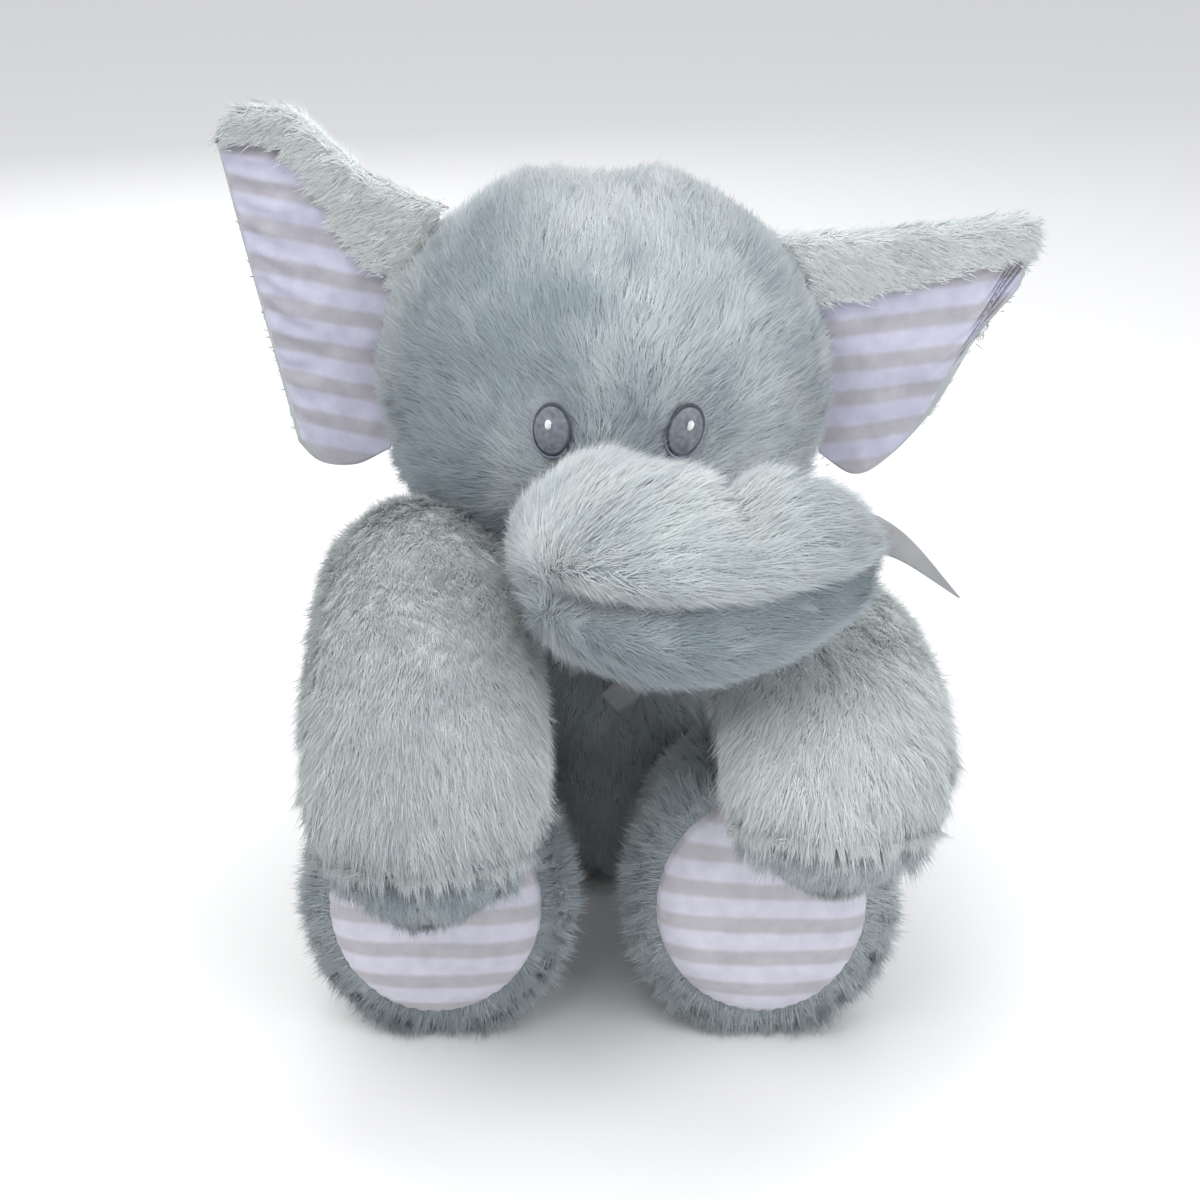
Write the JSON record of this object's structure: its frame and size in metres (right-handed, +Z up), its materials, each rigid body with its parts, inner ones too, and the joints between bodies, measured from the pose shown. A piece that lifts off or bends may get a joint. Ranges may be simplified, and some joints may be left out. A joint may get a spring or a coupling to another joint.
{
  "type": "stuffed elephant",
  "caption": "Seated plush elephant with a thick sideways trunk, raised striped-lined ears, draped arms, striped soles and a satin neck ribbon.",
  "frame": {"origin": "a point on the flat underside of the seat, in the symmetry plane of the torso", "axes": "+Z up, the face looks towards -Y, +X is the elephant's own left"},
  "size_m": [0.3357, 0.3392, 0.3413],
  "materials": {
    "plush": "long-pile grey plush, matt",
    "striped_velour": "short-pile velour with soft beige-grey stripes",
    "satin_ribbon": "grey satin, slight sheen",
    "dark_thread": "dense satin-stitch embroidery",
    "white_thread": "satin-stitch embroidery",
    "fiberfill": "loose polyester fibre",
    "pellet_bag": "plain woven bag of pellets"
  },
  "bodies": {
    "torso": {"torso_front_panel": "plush", "torso_back_panel_left": "plush", "torso_back_panel_right": "plush", "torso_stuffing": "fiberfill", "pellet_bag": "pellet_bag", "ribbon_neck_band": "satin_ribbon", "ribbon_knot": "satin_ribbon", "ribbon_loop_left": "satin_ribbon", "ribbon_loop_right": "satin_ribbon", "ribbon_tail_left": "satin_ribbon", "ribbon_tail_right": "satin_ribbon"},
    "head": {"head_panel_left": "plush", "head_panel_right": "plush", "head_gusset": "plush", "head_stuffing": "fiberfill", "eye_left": "dark_thread", "eye_right": "dark_thread", "eye_left_highlight": "white_thread", "eye_right_highlight": "white_thread"},
    "trunk": {"trunk_upper_panel": "plush", "trunk_under_panel": "plush", "trunk_stuffing": "fiberfill"},
    "ear_left": {"ear_left_back_panel": "plush", "ear_left_lining": "striped_velour"},
    "ear_right": {"ear_right_back_panel": "plush", "ear_right_lining": "striped_velour"},
    "arm_left": {"arm_left_upper_panel": "plush", "arm_left_palm_panel": "plush", "arm_left_stuffing": "fiberfill"},
    "arm_right": {"arm_right_upper_panel": "plush", "arm_right_palm_panel": "plush", "arm_right_stuffing": "fiberfill"},
    "leg_left": {"leg_left_upper_panel": "plush", "leg_left_lower_panel": "plush", "leg_left_sole": "striped_velour", "leg_left_stuffing": "fiberfill"},
    "leg_right": {"leg_right_upper_panel": "plush", "leg_right_lower_panel": "plush", "leg_right_sole": "striped_velour", "leg_right_stuffing": "fiberfill"},
    "tail": {"tail": "plush"}
  },
  "joints": [
    {"name": "head_nod", "type": "hinge", "parent": "torso", "child": "head", "pos_m": [0, 0.012, 0.136], "axis": [-1, 0, 0], "range_deg": [0, 8], "stiffness_Nm_per_rad": 0.6},
    {"name": "trunk_lift", "type": "hinge", "parent": "head", "child": "trunk", "pos_m": [0, -0.094, 0.19], "axis": [-1, 0, 0], "range_deg": [0, 10], "stiffness_Nm_per_rad": 0.1},
    {"name": "ear_left_flap", "type": "hinge", "parent": "head", "child": "ear_left", "pos_m": [0.0825, 0.01, 0.235], "axis": [0.1903, 0, -0.9817], "range_deg": [-15, 15], "stiffness_Nm_per_rad": 0.02},
    {"name": "ear_right_flap", "type": "hinge", "parent": "head", "child": "ear_right", "pos_m": [-0.0825, 0.01, 0.235], "axis": [0.1903, 0, 0.9817], "range_deg": [-15, 6], "stiffness_Nm_per_rad": 0.02},
    {"name": "arm_left_open", "type": "hinge", "parent": "torso", "child": "arm_left", "pos_m": [0.064, -0.016, 0.12], "axis": [0, 0, 1], "range_deg": [0, 12], "stiffness_Nm_per_rad": 0.05},
    {"name": "arm_right_open", "type": "hinge", "parent": "torso", "child": "arm_right", "pos_m": [-0.064, -0.016, 0.12], "axis": [0, 0, -1], "range_deg": [0, 25], "stiffness_Nm_per_rad": 0.05},
    {"name": "leg_left_splay", "type": "hinge", "parent": "torso", "child": "leg_left", "pos_m": [0.05, -0.04, 0.046], "axis": [0, 0, 1], "range_deg": [0, 20], "stiffness_Nm_per_rad": 0.05},
    {"name": "leg_right_splay", "type": "hinge", "parent": "torso", "child": "leg_right", "pos_m": [-0.051, -0.04, 0.046], "axis": [0, 0, -1], "range_deg": [0, 20], "stiffness_Nm_per_rad": 0.05},
    {"name": "tail_swing", "type": "hinge", "parent": "torso", "child": "tail", "pos_m": [0, 0.0888, 0.05], "axis": [0, 0, 1], "range_deg": [-25, 25], "stiffness_Nm_per_rad": 0.005}
  ]
}
